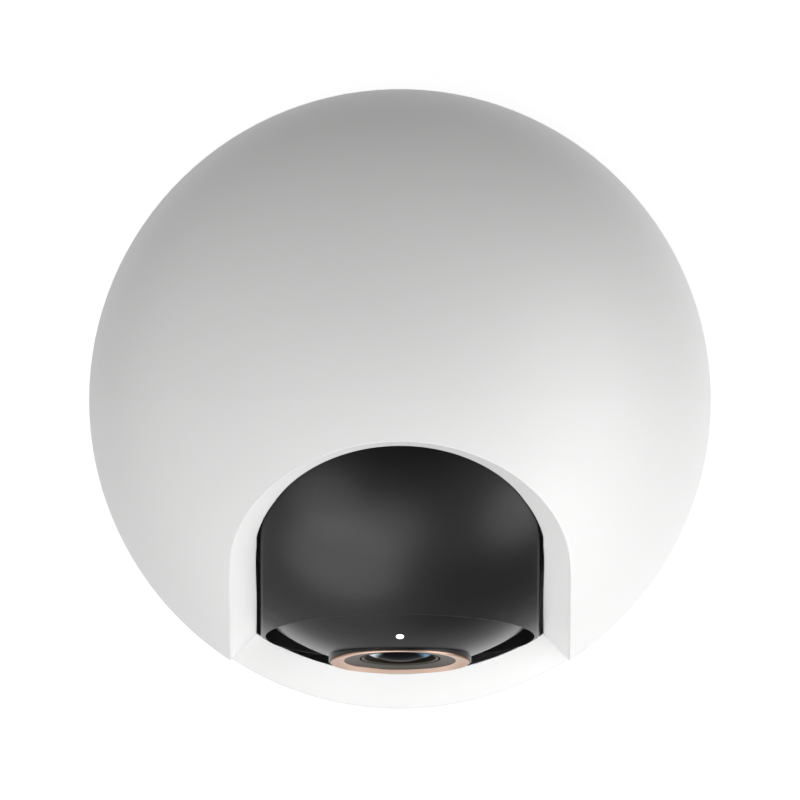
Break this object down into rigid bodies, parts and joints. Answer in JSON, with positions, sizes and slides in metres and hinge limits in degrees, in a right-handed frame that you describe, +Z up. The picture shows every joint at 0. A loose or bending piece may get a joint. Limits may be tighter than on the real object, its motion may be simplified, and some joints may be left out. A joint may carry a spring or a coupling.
{
  "type": "pan-tilt security camera",
  "caption": "White bullet-shaped indoor camera whose domed turret pans on a round base while a black drum head with a copper-ringed lens tilts in an arched window.",
  "frame": {"origin": "Middle of the rubber foot's underside, where the camera stands.", "axes": "+Z up along the pan axis, -Y out of the window along the lens, +X to the camera's right as seen from in front."},
  "size_m": [0.078, 0.078, 0.122],
  "materials": {
    "white_shell": "white moulded shell with a fine satin texture",
    "grey_plastic": "light grey moulded structural plastic",
    "black_plastic": "black moulded plastic, matte",
    "black_shroud": "black drum with a fine satin texture",
    "black_gloss": "glossy black, lets infrared light through",
    "dark_bezel": "dark grey, fine concentric texture",
    "copper_trim": "copper-coloured metallised trim",
    "lens_glass": "coated optical glass",
    "light_pipe": "clear light pipe, lit white",
    "lamp_lens": "small infrared emitters under clear resin",
    "filter_frame": "black slide with two small filter glasses",
    "foot_rubber": "soft dark rubber",
    "gasket_foam": "foam",
    "cable_jacket": "soft jacket",
    "gear_plastic": "natural acetal",
    "pinion_steel": "machined steel",
    "screw_steel": "zinc-plated steel",
    "motor_steel": "pressed steel",
    "insert_brass": "turned brass",
    "circuit_board": "glass-fibre board with green mask",
    "chip_black": "moulded chip packages and plugs",
    "fin_aluminium": "extruded aluminium",
    "cone_paper": "thin dark film cone",
    "antenna_foil": "thin metal foil on film"
  },
  "bodies": {
    "base": {"foot_ring": "foot_rubber", "base_plate": "grey_plastic", "base_plate_screws": "screw_steel", "tripod_insert": "insert_brass", "base_shell": "white_shell", "speaker_frame": "black_plastic", "speaker_magnet": "motor_steel", "speaker_cone": "cone_paper", "speaker_gasket": "gasket_foam", "power_board": "circuit_board", "usb_socket": "motor_steel", "reset_switch": "black_plastic", "pan_motor": "motor_steel", "pan_motor_screws": "screw_steel", "pan_bush": "gear_plastic", "base_harness": "cable_jacket"},
    "turret": {"turret_floor": "grey_plastic", "pan_gear": "gear_plastic", "pan_gear_screws": "screw_steel", "hub_retainer": "grey_plastic", "front_shell": "white_shell", "rear_shell": "white_shell", "shell_screws": "screw_steel", "yoke_left": "grey_plastic", "yoke_right": "grey_plastic", "yoke_screws": "screw_steel", "tilt_bushes": "gear_plastic", "tilt_motor": "motor_steel", "tilt_motor_screws": "screw_steel", "main_board": "circuit_board", "main_board_chips": "chip_black", "main_board_screws": "screw_steel", "heat_spreader": "fin_aluminium", "wifi_antenna": "antenna_foil", "turret_harness": "cable_jacket", "board_cable": "cable_jacket"},
    "head": {"head_shroud": "black_shroud", "head_rear_cover": "black_plastic", "head_screws": "screw_steel", "tilt_gear": "gear_plastic", "head_carrier": "black_plastic", "face_plate": "black_gloss", "status_light": "light_pipe", "lens_ring": "copper_trim", "lens_bezel": "dark_bezel", "lens_glass": "lens_glass", "lens_barrel": "dark_bezel", "lens_holder": "black_plastic", "filter_coil": "chip_black", "sensor_board": "circuit_board", "image_sensor": "chip_black", "head_cable": "cable_jacket", "lamp_board": "circuit_board", "infrared_lamps": "lamp_lens", "card_socket": "motor_steel"},
    "pan_pinion": {"pan_pinion": "pinion_steel"},
    "tilt_pinion": {"tilt_pinion": "pinion_steel"},
    "filter_slide": {"filter_slide": "filter_frame"},
    "reset_button": {"reset_button": "grey_plastic"}
  },
  "joints": [
    {"name": "pan", "type": "hinge", "parent": "base", "child": "turret", "pos_m": [0, 0, 0], "axis": [0, 0, 1], "range_deg": [-170, 170]},
    {"name": "tilt", "type": "hinge", "parent": "turret", "child": "head", "pos_m": [0, 0, 0.083], "axis": [-1, 0, 0], "range_deg": [-22, 35]},
    {"name": "pan_pinion_spin", "type": "hinge", "parent": "base", "child": "pan_pinion", "pos_m": [0.024, 0, 0], "axis": [0, 0, 1], "range_deg": [-608, 608]},
    {"name": "tilt_pinion_spin", "type": "hinge", "parent": "turret", "child": "tilt_pinion", "pos_m": [0, 0, 0.0668], "axis": [-1, 0, 0], "range_deg": [-101, 64]},
    {"name": "filter_shift", "type": "slide", "parent": "head", "child": "filter_slide", "axis": [1, 0, 0], "range_m": [0, 0.005]},
    {"name": "reset_press", "type": "slide", "parent": "base", "child": "reset_button", "axis": [0, -1, 0], "range_m": [0, 0.0004], "stiffness_N_per_m": 500, "springref_m": -0.0004}
  ],
  "couplings": [
    {"joint": "pan_pinion_spin", "follows": "pan", "ratio": -3.5714},
    {"joint": "tilt_pinion_spin", "follows": "tilt", "ratio": -2.8571}
  ]
}
